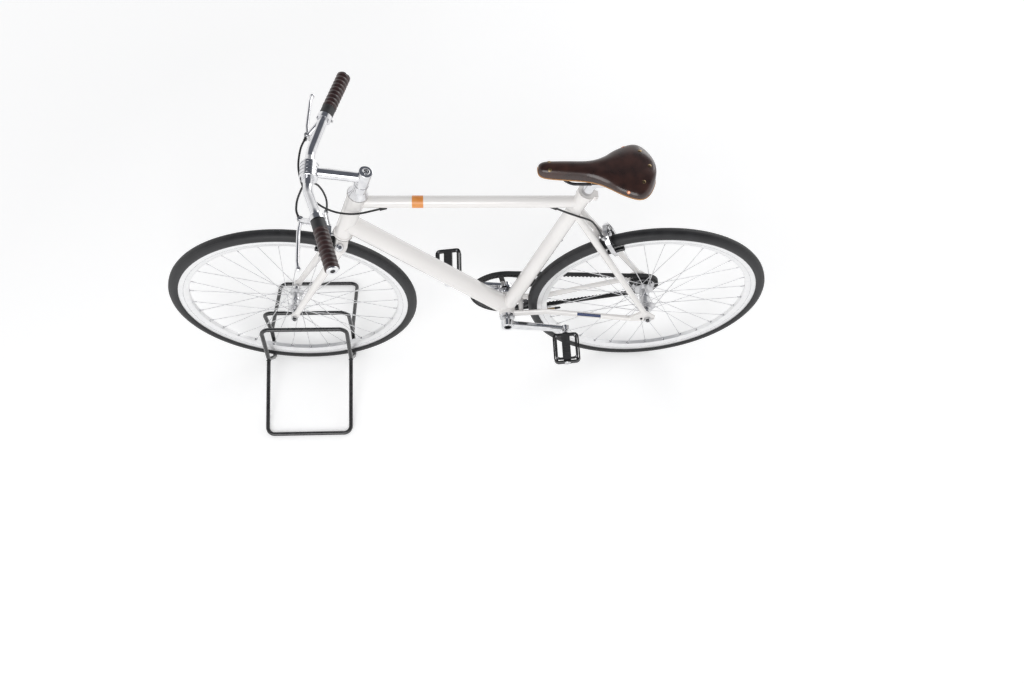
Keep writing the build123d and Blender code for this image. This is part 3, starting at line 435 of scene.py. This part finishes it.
def bar_end(side, sign):
    """End plug, grip rims and seam, and the lever's fixings, on one side of the bar."""
    out = sided(BAR_OUT, sign)
    bolt(f"plug_screw_{side}", sided(along_bar(PLUG_AT), sign), out, 5.5, 1.6, DARK_STEEL, "front_end")
    ring(f"grip_lip_{side}", sided(along_bar(GRIP_LIP_AT), sign), out, 13, 16.6, 2.2, GRIP, "front_end")
    ring(f"grip_end_{side}", sided(along_bar(GRIP_END_AT), sign), out, 13, 16.4, 2.0, GRIP, "front_end")
    seam = bmesh.new()
    for k in range(STITCHES):
        at = sided(along_bar(STITCH_FROM + STITCH_STEP * k), sign) + SEAM_FROM_AXIS
        lathe_into(seam, at, out + X * (STITCH_LEAN if k % 2 else -STITCH_LEAN),
                   [(0.7, -2.6), (0.7, 2.6), (0.2, 2.9), (0.2, -2.9)], 6)
    add(f"grip_seam_{side}", seam, TAN, "front_end")
    pivot = LEVER_PIVOT + Z * LEVER_PIVOT_UP
    bolt(f"lever_pivot_{side}", sided(pivot, sign), Z, 5.6, 2.6, STEEL, "front_end")
    clamp = along_bar(LEVER_CLAMP_AT) + LEVER_CLAMP_FROM_AXIS
    bolt(f"lever_clamp_{side}", sided(clamp, sign), Vector((-0.8, 0, -0.6)), 4.2, 3.6, STEEL, "front_end")
    way = sided(BARREL_WAY, sign)
    lathe(f"lever_barrel_{side}", sided(BARREL_END, sign) - way * BARREL_BACK, way,
          [(4, 0), (5.6, 0.4), (6, 1.4), (5.4, 2.4), (6, 3.4), (5.4, 4.4), (5.2, 6), (4, 6.4)],
          DARK_STEEL, "front_end", 18)
    lathe(f"lever_ferrule_{side}", sided(BARREL_END, sign) - way * FERRULE_BACK, way,
          [(2.2, 0), (3.4, 0), (3.4, 7), (3.0, 8.5), (2.2, 8.5)], JACKET, "front_end", 18)


# ---------------------------------------------------------------- brakes
PAD_R = RIM_R - BRAKE_TRACK / 2 - 2
PAD_ACROSS, SHOE_SIZE, SHOE_NUT_OUT = 18.0, (47, 9.8, 9.8), 5
ARM_BOLT_AHEAD, SPRING_AHEAD, BARREL_UP, FERRULE_UP = 13.2, 8, 1.0, 11.0
# The spring's bends, to its side and along the arms from their bolt.
SPRING = ((-24, -28), (-27, -12), (-18, 4), (0, 13), (18, 4), (27, -12), (24, -28))
STAY_UNDER_TOP_TUBE, STAY_BEHIND_SEAT = 49, 18


def dress_brake(name, body, at, ahead, along, middle, bolt_at, pull):
    """Shoes, fixings and spring of a rim brake whose arms are solid.

    The arms stand along one direction from the wheel's centre, middle ahead of it in another. Their
    bolt is bolt_at from the centre, and pull is the cable's end as (ahead, across, along)."""
    across = along.cross(ahead)
    pad_at = (PAD_R ** 2 - middle ** 2) ** 0.5
    out = ahead * (middle / PAD_R) + along * (pad_at / PAD_R)
    tangent = out.cross(across)
    for k, side in enumerate((1, -1)):
        centre = at + out * PAD_R + across * (PAD_ACROSS * side)
        block(f"{name}_shoe_{k}", centre, SHOE_SIZE, BLACK, body, x_dir=tangent, z_dir=out, soft=2.2)
        lathe(f"{name}_shoe_nut_{k}", centre + across * (SHOE_NUT_OUT * side), across * side,
              [(0, 0), (5.5, 0), (5.5, 2), (4.6, 3.2), (3.2, 3.2), (3.0, 7.5), (0, 8)], STEEL, body, 18)
    arm_bolt = at + ahead * (middle + ARM_BOLT_AHEAD) + along * bolt_at
    bolt(f"{name}_bolt", arm_bolt, ahead, 4.8, 3.2, DARK_STEEL, body)
    pull_at = at + ahead * pull.x + across * pull.y + along * pull.z
    lathe(f"{name}_barrel", pull_at + along * BARREL_UP, along,
          [(3.8, 0), (5.6, 0.5), (6, 2), (5.3, 3), (6, 4), (5.3, 5), (6, 6), (5.2, 7.4), (3.8, 7.8)],
          STEEL, body, 18)
    lathe(f"{name}_ferrule", pull_at + along * FERRULE_UP, along,
          [(2.2, 0), (3.5, 0), (3.5, 6.5), (3.1, 8), (2.2, 8)], JACKET, body, 18)
    spring = [at + ahead * (middle + SPRING_AHEAD) + across * aside + along * (bolt_at + lift)
              for aside, lift in SPRING]
    tube(f"{name}_spring", smooth_path(spring), 1.2, DARK_STEEL, body, 8)


def brakes():
    """The front brake hangs ahead of the fork, the rear one behind the seat stays."""
    stay_top = seat_axis(TOP_TUBE_Z - STAY_UNDER_TOP_TUBE) - X * STAY_BEHIND_SEAT
    stay_dir = (stay_top - REAR_HUB).normalized()
    behind = Vector((-stay_dir.z, 0, stay_dir.x))
    dress_brake("front_brake", "front_end", FRONT_HUB, STEER_AHEAD, STEER_UP, middle=35 - FORK_RAKE,
                bolt_at=359.5, pull=Vector((48 - FORK_RAKE, -43, TYRE_R + 42)))
    dress_brake("rear_brake", "frame", REAR_HUB, behind, stay_dir, middle=28,
                bolt_at=TYRE_R + 29, pull=Vector((22, -22, TYRE_R + 35)))


# ---------------------------------------------------------------- wheels
SPOKES, EYELET_ASIDE = 32, 2.0
TYRE_RIBS = ((18, 0.55), (-18, 0.55), (36, 0.55), (-36, 0.55), (118, 0.8), (-118, 0.8))
RIB_FOOT_R, RIB_TOP_R, RIB_LEAN = 15.8, 16.35, 2.2
VALVE_STEM_R, VALVE_CAP_R = RIM_IN_R + 1, RIM_IN_R - 22
SEAL_OVER_HUB, HUB_BAND_HALF = 1.2, 3


def dress_wheel(name, centre, valve_deg, hub_ends, neck):
    """Eyelets, brake track lines, tyre ribs, valve, and the seals and band of the hub."""
    body = f"{name}_wheel"
    eyelets = bmesh.new()
    for k in range(SPOKES):
        angle, y = radians(k * 360 / SPOKES), -EYELET_ASIDE if k % 2 else EYELET_ASIDE
        out = Vector((cos(angle), 0, sin(angle)))
        lathe_into(eyelets, centre + out * RIM_IN_R + Y * y, -out,
                   [(2, -0.5), (4, -0.5), (3.8, 0.6), (3, 1.0), (2, 1.0)], 12)
    add(f"{name}_eyelets", eyelets, STEEL, body)
    track_r = RIM_R - BRAKE_TRACK
    for side, sign in SIDES:
        face = sign * RIM_W / 2
        lathe(f"{name}_track_line_{side}", centre, Y,
              [(track_r - 0.7, face - sign * 0.6), (track_r + 0.5, face - sign * 0.1),
               (track_r + 0.5, face + sign * 0.12), (track_r - 0.7, face - sign * 0.25)],
              DARK_STEEL, body, 160)
    for k, (lean, width) in enumerate(TYRE_RIBS):
        half = RIB_LEAN * width
        profile = [Vector((TYRE_R - TYRE_SECTION_R + r * cos(radians(a)), r * sin(radians(a)))) for r, a in
                   ((RIB_FOOT_R, lean - half), (RIB_TOP_R, lean), (RIB_FOOT_R, lean + half))]
        lathe(f"{name}_tyre_rib_{k}", centre, Y, profile, TYRE, body, 180)
    angle = radians(valve_deg)
    out = Vector((cos(angle), 0, sin(angle)))
    lathe(f"{name}_valve_stem", centre + out * VALVE_STEM_R, -out,
          [(0, 0), (4.6, 0), (4.6, 2.6), (3.1, 3), (3.1, 24), (2.3, 25), (2.3, 31), (0, 31)], BRASS, body, 18)
    lathe(f"{name}_valve_cap", centre + out * VALVE_CAP_R, -out,
          [(0, 0), (3.9, 0), (4.1, 1), (3.8, 6), (2.9, 16), (0, 18)], RESIN, body, 18)
    for (side, sign), end in zip(SIDES, hub_ends):
        way = Y * sign
        lathe(f"{name}_hub_seal_{side}", centre + Y * end - way * SEAL_OVER_HUB, way,
              [(6, 0), (neck + 0.4, 0), (neck + 0.4, 1.2), (neck - 1.5, 1.9), (6, 1.5)], STEEL, body, 32)
    lathe(f"{name}_hub_band", centre - Y * HUB_BAND_HALF, Y,
          [(neck - 1, 0), (neck + 0.2, 0.3), (neck + 0.5, 3), (neck + 0.2, 5.7), (neck - 1, 6)],
          POLISHED, body, 40)


# ---------------------------------------------------------------- cranks, drive and pedals
CRANK_BOLT_Y, CRANK_LIP_Y, CRANK_CAP_Y, LOCKRING_Y = 62.3, 71.2, -71.5, 39.2
RING_BOLTS, RING_BOLT_R, RING_BOLT_Y, RING_NUT_Y = 5, 65, -53.8, -45.2
CARRIER_BOLTS, CARRIER_BOLT_R, CARRIER_BOLT_Y, CARRIER_BOLT_DEG, CARRIER_Y = 6, 27, -39.3, 20, -41.1
PEDAL_TILT, PEDAL_CAP_Y, PEDAL_WASHER_Y = radians(10), 181.5, 77.8
TREAD_TOP, TREAD_SCREWS = 16, ((27, 102), (27, 170), (-27, 102), (-27, 170))
TREAD_RIBS, TREAD_RIB_FROM, TREAD_RIB_STEP, TREAD_RIB_SIZE = 7, 106, 10, (20, 2.4, 1.4)


def drive():
    """Bolts, caps and lock rings of the cranks, the chainring and the rear sprocket."""
    bb = BOTTOM_BRACKET
    bolt("crank_bolt_left", bb + Y * CRANK_BOLT_Y, Y, 8.5, 5.5, DARK_STEEL, "crank")
    lathe("crank_cap_right", bb + Y * CRANK_CAP_Y, -Y, [(0, 0), (10.5, 0), (10.5, 1), (8.5, 1.9), (0, 2.3)],
          POLISHED, "crank", 32)
    ring("crank_lip_left", bb + Y * CRANK_LIP_Y, Y, 11.3, 14.0, 1.3, POLISHED, "crank", 40)
    for side, sign in SIDES:
        lathe(f"lockring_{side}", bb + Y * (LOCKRING_Y * sign), Y * sign,
              [(9, 0), (21.5, 0), (22.2, 0.6), (22.2, 2.4), (20.5, 3.2), (12, 3.2), (9, 2.8)],
              STEEL, "frame", 16)
    for k in range(RING_BOLTS):
        angle = radians(360 / RING_BOLTS * k + CRANK_DROP)
        at = bb + Vector((RING_BOLT_R * cos(angle), 0, RING_BOLT_R * sin(angle)))
        bolt(f"ring_bolt_{k}", at + Y * RING_BOLT_Y, -Y, 5.2, 2.6, STEEL, "crank")
        lathe(f"ring_nut_{k}", at + Y * RING_NUT_Y, Y,
              [(0, 0), (5.4, 0), (5.2, 1.6), (2.6, 1.6), (2.4, 0.4), (0, 0.4)], STEEL, "crank")
    ring("sprocket_carrier", REAR_HUB + Y * CARRIER_Y, Y, 17.1, 33, 1.9, STEEL, "sprocket")
    for k in range(CARRIER_BOLTS):
        angle = radians(360 / CARRIER_BOLTS * k + CARRIER_BOLT_DEG)
        at = REAR_HUB + Vector((CARRIER_BOLT_R * cos(angle), CARRIER_BOLT_Y, CARRIER_BOLT_R * sin(angle)))
        bolt(f"carrier_bolt_{k}", at, Y, 2.6, 1.6, DARK_STEEL, "sprocket")


def dress_pedal(side, sign):
    """Cap, washer, tread screws and tread ribs of one pedal."""
    body, out = f"pedal_{side}", Y * sign
    crank_way = Vector((-cos(radians(CRANK_DROP)), 0, -sin(radians(CRANK_DROP)))) * sign
    eye = BOTTOM_BRACKET + crank_way * CRANK_L
    lathe(f"pedal_cap_{side}", eye + out * PEDAL_CAP_Y, out,
          [(0, 0), (9, 0), (9.2, 1), (8, 2.2), (3, 2.6), (0, 2.6)], STEEL, body, 24)
    ring(f"pedal_washer_{side}", eye + out * PEDAL_WASHER_Y, out, 5.2, 9.5, 1.4, STEEL, "crank", 24)
    along = Vector((cos(PEDAL_TILT), 0, -sin(PEDAL_TILT)))
    normal = Vector((sin(PEDAL_TILT), 0, cos(PEDAL_TILT)))
    for k, (u, v) in enumerate(TREAD_SCREWS):
        at = eye + along * u + normal * TREAD_TOP + out * v
        bolt(f"tread_screw_{side}_{k}", at, normal, 2.6, 0.9, STEEL, body)
    for k in range(TREAD_RIBS):
        at = eye + normal * (TREAD_TOP + 0.1) + out * (TREAD_RIB_FROM + TREAD_RIB_STEP * k)
        block(f"tread_rib_{side}_{k}", at, TREAD_RIB_SIZE, RESIN, body, x_dir=along, z_dir=normal, soft=0.4)


# ---------------------------------------------------------------- saddle
# Share of the length, share of the half width, drop of the top and depth of the skirt.
EDGE = [(0.0, 0.12, 7.0, 14), (0.03, 0.21, 2.5, 22), (0.1, 0.255, 0.5, 26), (0.25, 0.285, 1.5, 27),
        (0.42, 0.33, 4.0, 26), (0.52, 0.44, 5.0, 24), (0.6, 0.6, 5.0, 23), (0.7, 0.83, 4.0, 23),
        (0.8, 0.98, 2.5, 25), (0.87, 0.98, 2.0, 27), (0.93, 0.82, 2.5, 29), (0.975, 0.55, 4.5, 28),
        (1.0, 0.25, 9.0, 22)]
SIDE_RIVETS = [(-166, 12, BRASS), (-345, 66, COPPER), (-381, 45, BRASS)]
BACK_RIVET = (-399, 0, BRASS)
OVER_SADDLE, RIVET_SUNK = 1000, 0.8


def saddle_edge(side, inset=0.0, lift=0.0, stations=EDGE):
    """Points along the leather's lower edge, on one side."""
    return [Vector((SADDLE_NOSE_X - SADDLE_L * share, side * (SADDLE_HALF_W * width - inset),
                    SADDLE_TOP - lost - depth + lift)) for share, width, lost, depth in stations]


def saddle_trim():
    """Cut edge of the leather, the steel band under its back, and the rivets."""
    loop = saddle_edge(1) + saddle_edge(-1)[::-1]
    tube("saddle_edge", smooth_path(loop, closed=True), 1.5, TAN, "frame", 10, closed=True, flat=1.3)
    back = saddle_edge(1, inset=9, lift=7, stations=EDGE[8:])
    cantle = smooth_path(back + [sided(p, -1) for p in back[::-1]], per_run=5)
    tube("saddle_cantle", cantle, 1.6, STEEL, "frame", 10, flat=4.0)
    leather = surface("saddle")
    rivets = SIDE_RIVETS + [(x, -y, metal) for x, y, metal in SIDE_RIVETS] + [BACK_RIVET]
    for k, (x, y, metal) in enumerate(rivets):
        hit, normal = seat_on(leather, Vector((x, y, OVER_SADDLE)), -Z)
        lathe(f"rivet_{k}", hit - normal * RIVET_SUNK, normal,
              [(0, 0), (4.6, 0), (4.6, 0.9), (3.8, 1.4), (1.8, 1.8), (0, 1.9)], metal, "frame", 20)


# ---------------------------------------------------------------- frame trim
# The left chain stay's front and rear end: x, y and z of its middle, half its width, half its height.
STAY_FRONT, STAY_REAR = (-215, 27.4, 312, 6.5, 12), (-455, 67, 337, 8, 8)
LABEL_FRONT_X, LABEL_L = -303, 67
LABEL_RUNS, LABEL_TURNS, LABEL_LIFTS = 12, 8, (0.05, 0.45)
LABEL_FROM_DEG, LABEL_STEP_DEG = 18, 8
BAND_X, BAND_L = 127, 27
SEAT_BOLTS = ((655, STEEL), (486, RESIN), (446, RESIN))
SEAT_BOLT_WAY, OUTSIDE_TUBE = Vector((-0.93, 0.36, -0.1)).normalized(), 60
DROPOUT_BOLTS, DROPOUT_Y = ((-486, 343), (-513, 331)), 71
AXLE_ENDS = (("front", FRONT_HUB, 65.5, "front_end"), ("rear", REAR_HUB, 81.5, "frame"))
AXLE_CAP_OVER = 4.5


def label_row(mesh, i, lift):
    """Corners across the label, lifted off the stay's skin."""
    x = LABEL_FRONT_X - LABEL_L * i / LABEL_RUNS
    t = (x - STAY_FRONT[0]) / (STAY_REAR[0] - STAY_FRONT[0])
    y, z, half_y, half_z = (a + (b - a) * t for a, b in zip(STAY_FRONT[1:], STAY_REAR[1:]))
    return [mesh.verts.new((x, y + (half_y + lift) * cos(a), z + (half_z + lift) * sin(a)))
            for a in (radians(LABEL_FROM_DEG + LABEL_STEP_DEG * j) for j in range(LABEL_TURNS + 1))]


def stay_label():
    """Blank label wrapped over the left chain stay's outer, upper side."""
    mesh = bmesh.new()
    low, high = layers = [[label_row(mesh, i, lift) for i in range(LABEL_RUNS + 1)] for lift in LABEL_LIFTS]
    for rows in layers:
        for i in range(LABEL_RUNS):
            for j in range(LABEL_TURNS):
                mesh.faces.new((rows[i][j], rows[i + 1][j], rows[i + 1][j + 1], rows[i][j + 1]))
    rim = ([(0, j) for j in range(LABEL_TURNS + 1)] + [(i, LABEL_TURNS) for i in range(1, LABEL_RUNS + 1)]
           + [(LABEL_RUNS, j) for j in range(LABEL_TURNS - 1, -1, -1)]
           + [(i, 0) for i in range(LABEL_RUNS - 1, 0, -1)])
    for (i, j), (m, n) in zip(rim, rim[1:] + rim[:1]):
        mesh.faces.new((low[i][j], low[m][n], high[m][n], high[i][j]))
    add("stay_label", mesh, BLUE, "frame")


def frame_trim():
    """Painted band, label, and the bolts on the seat tube, the dropouts and the axles."""
    ring("top_tube_band", Vector((BAND_X, 0, TOP_TUBE_Z)), X, TOP_TUBE_R - 0.4, TOP_TUBE_R + 0.2, BAND_L,
         ORANGE, "frame", 72)
    stay_label()
    seat_tube = surface("seat_tube")
    for k, (z, metal) in enumerate(SEAT_BOLTS):
        hit = seat_on(seat_tube, seat_axis(z) + SEAT_BOLT_WAY * OUTSIDE_TUBE, -SEAT_BOLT_WAY)[0]
        bolt(f"seat_tube_bolt_{k}", hit, SEAT_BOLT_WAY, 3.6, 2.4, metal, "frame")
    for k, (x, z) in enumerate(DROPOUT_BOLTS):
        bolt(f"dropout_bolt_{k}", Vector((x, DROPOUT_Y, z)), Y, 3.8, 3.0, DARK_STEEL, "frame")
    for side, sign in SIDES:
        way = Y * sign
        for wheel, hub, reach, body in AXLE_ENDS:
            lathe(f"{wheel}_axle_cap_{side}", hub + way * (reach - AXLE_CAP_OVER), way,
                  [(0, 0), (5.4, 0), (5.4, 3.6), (4.4, 5), (2, 5.5), (0, 5.6)], DARK_STEEL, body, 20)


# ---------------------------------------------------------------- stand
STAND_XS, BEAD_OUT = (373.5, 623.5), 4
LEG_ROOTS = (("near", 58, 88.3, Vector((0, 216.5, -82.3))), ("far", -41.5, 82, Vector((0, -216.5, -76))))


def stand_welds():
    """Weld beads where the legs leave the cradle."""
    for k, x in enumerate(STAND_XS):
        for name, y, z, way in LEG_ROOTS:
            lathe(f"stand_weld_{name}_{k}", Vector((x, y, z)) + way.normalized() * BEAD_OUT, way,
                  [(5.6, 0), (6.9, 0.6), (7.5, 2.2), (7.1, 3.9), (5.6, 4.8)], STAND, "front_end", 24)


# ---------------------------------------------------------------- rear brake's cable across the steering
CABLE_R = 0.0025
LEAD_ROUTE = [(400, -114, 905), (408, -95, 906), (412, -64, 905), (413, -33, 900), (409, -11, 888),
              (402, 8, 871), (388, 21, 858), (372, 31, 845), (354, 36, 832), (330, 37, 818), (301, 33, 806),
              (276, 27, 801), (254, 20, 800), (232.3, 14.1, 800.5)]


def cable_lead():
    """The cable from the right lever to the top tube, as one fixed mesh on no body; the real cable bends as
    the fork is steered.
    """
    data = bpy.data.curves.new("cable_lead_path", "CURVE")
    data.dimensions = "3D"
    data.bevel_depth = CABLE_R
    data.bevel_resolution = 4
    data.resolution_u = 10
    data.use_fill_caps = True
    spline = data.splines.new("NURBS")
    spline.points.add(len(LEAD_ROUTE) - 1)
    for point, place in zip(spline.points, LEAD_ROUTE):
        point.co = (*(v / 1000 for v in place), 1)
    spline.order_u = 3
    spline.use_endpoint_u = True
    path = placed("cable_lead_path", data)
    bpy.context.view_layer.update()
    mesh = bpy.data.meshes.new_from_object(path.evaluated_get(bpy.context.evaluated_depsgraph_get()))
    bpy.data.objects.remove(path)
    mesh.materials.clear()
    mesh.materials.append(JACKET)
    lead = placed("cable_lead", mesh)
    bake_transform(lead)
    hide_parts("rear_cable_lead")


# ---------------------------------------------------------------- floor, light and camera
PAPER, FLOOR_HALF = (0.86, 0.86, 0.86), 30
FLOOR_GLOW, FAR_GLOW = 0.34, 0.6
GLOW_FROM, GLOW_TO = 1.6, 5.0
CEILING, CEILING_FROM, CEILING_TO = (0.13, 0.138, 0.16), 0.36, 0.66
CEILING_SHADE, SKY_LIGHT = 0.5, 0.74
LAMP_TARGET = Vector((0, 0, 0.4))
CAMERA_AT = (0.065727, 1.272859, 2.540722)
CAMERA_RIGHT = Vector((-0.99746984, 0.04310742, 0.05653032))
CAMERA_UP = Vector((-0.01240826, -0.88854505, 0.45862156))
CAMERA_AHEAD = Vector((-0.06999973, -0.45675973, -0.88683177))
LENS, SENSOR = 30.784, 36.0


def floor():
    """White paper; its glow, stronger far away, is for the eye and for reflections and lights nothing."""
    mesh = bpy.data.meshes.new("floor")
    half = FLOOR_HALF
    corners = [(-half, -half, 0), (half, -half, 0), (half, half, 0), (-half, half, 0)]
    mesh.from_pydata(corners, [], [(0, 1, 2, 3)])
    plane = placed("floor", mesh)
    mat, tree, shader = material("floor_paper", PAPER, rough=1.0)
    path = tree.nodes.new("ShaderNodeLightPath")
    seen = path.outputs["Is Camera Ray"]
    for kind in ("Is Glossy Ray", "Is Transmission Ray"):
        seen = combine(tree, "MAXIMUM", seen, path.outputs[kind])
    coords = tree.nodes.new("ShaderNodeTexCoord")
    away = tree.nodes.new("ShaderNodeVectorMath")
    away.operation = "LENGTH"
    tree.links.new(coords.outputs["Object"], away.inputs[0])
    glow = spread(tree, away.outputs["Value"], FLOOR_GLOW, FAR_GLOW, GLOW_FROM, GLOW_TO)
    shader.inputs["Emission Color"].default_value = (1, 1, 1, 1)
    tree.links.new(combine(tree, "MULTIPLY", glow, seen), shader.inputs["Emission Strength"])
    mesh.materials.append(mat)


def lamp(name, place, size, power):
    """Square area lamp turned to the bicycle."""
    data = bpy.data.lights.new(name, "AREA")
    data.shape = "SQUARE"
    data.size = size
    data.energy = power
    obj = placed(name, data)
    obj.location = place
    obj.rotation_euler = (LAMP_TARGET - Vector(place)).to_track_quat("-Z", "Y").to_euler()


def world():
    """Even pale surroundings: white to the camera, and in reflections white sides under a dark ceiling."""
    scene_world = bpy.data.worlds.new("studio")
    scene_world.use_nodes = True
    tree = scene_world.node_tree
    back = tree.nodes["Background"]
    path = tree.nodes.new("ShaderNodeLightPath")
    by_camera, by_gloss = path.outputs["Is Camera Ray"], path.outputs["Is Glossy Ray"]
    coords = tree.nodes.new("ShaderNodeTexCoord")
    split = tree.nodes.new("ShaderNodeSeparateXYZ")
    tree.links.new(coords.outputs["Generated"], split.inputs[0])
    ceiling = ramp(tree, split.outputs["Z"], (1, 1, 1), CEILING, CEILING_FROM, CEILING_TO)
    shade = combine(tree, "SUBTRACT", spread(tree, by_gloss, CEILING_SHADE, 1.0), by_camera, clamp=True)
    tint = tree.nodes.new("ShaderNodeMix")
    tint.data_type = "RGBA"
    tint.inputs["A"].default_value = (1, 1, 1, 1)
    tree.links.new(shade, tint.inputs["Factor"])
    tree.links.new(ceiling, tint.inputs["B"])
    tree.links.new(tint.outputs["Result"], back.inputs["Color"])
    seen = combine(tree, "MAXIMUM", by_camera, by_gloss)
    tree.links.new(spread(tree, seen, SKY_LIGHT, 1.0), back.inputs["Strength"])
    bpy.context.scene.world = scene_world


def camera():
    """Looks down on the bicycle's left side from above the level of the saddle."""
    data = bpy.data.cameras.new("camera")
    data.lens = LENS
    data.sensor_width = SENSOR
    obj = placed("camera", data)
    turn = Matrix((CAMERA_RIGHT, CAMERA_UP, -CAMERA_AHEAD)).transposed()
    obj.matrix_world = Matrix.Translation(CAMERA_AT) @ turn.to_4x4()
    bpy.context.scene.camera = obj


dress_solids()
stem()
for side, sign in SIDES:
    bar_end(side, sign)
brakes()
dress_wheel("front", FRONT_HUB, valve_deg=113, hub_ends=(33, -33), neck=12.5)
dress_wheel("rear", REAR_HUB, valve_deg=-13, hub_ends=(40, -31), neck=15.5)
drive()
for side, sign in SIDES:
    dress_pedal(side, sign)
saddle_trim()
frame_trim()
stand_welds()
cable_lead()
floor()
lamp("key", (0.8, 2.9, 2.5), size=2.4, power=62)
lamp("fill", (-2.4, -2.9, 1.9), size=2.2, power=34)
world()
camera()
bpy.context.scene.view_settings.view_transform = "Standard"
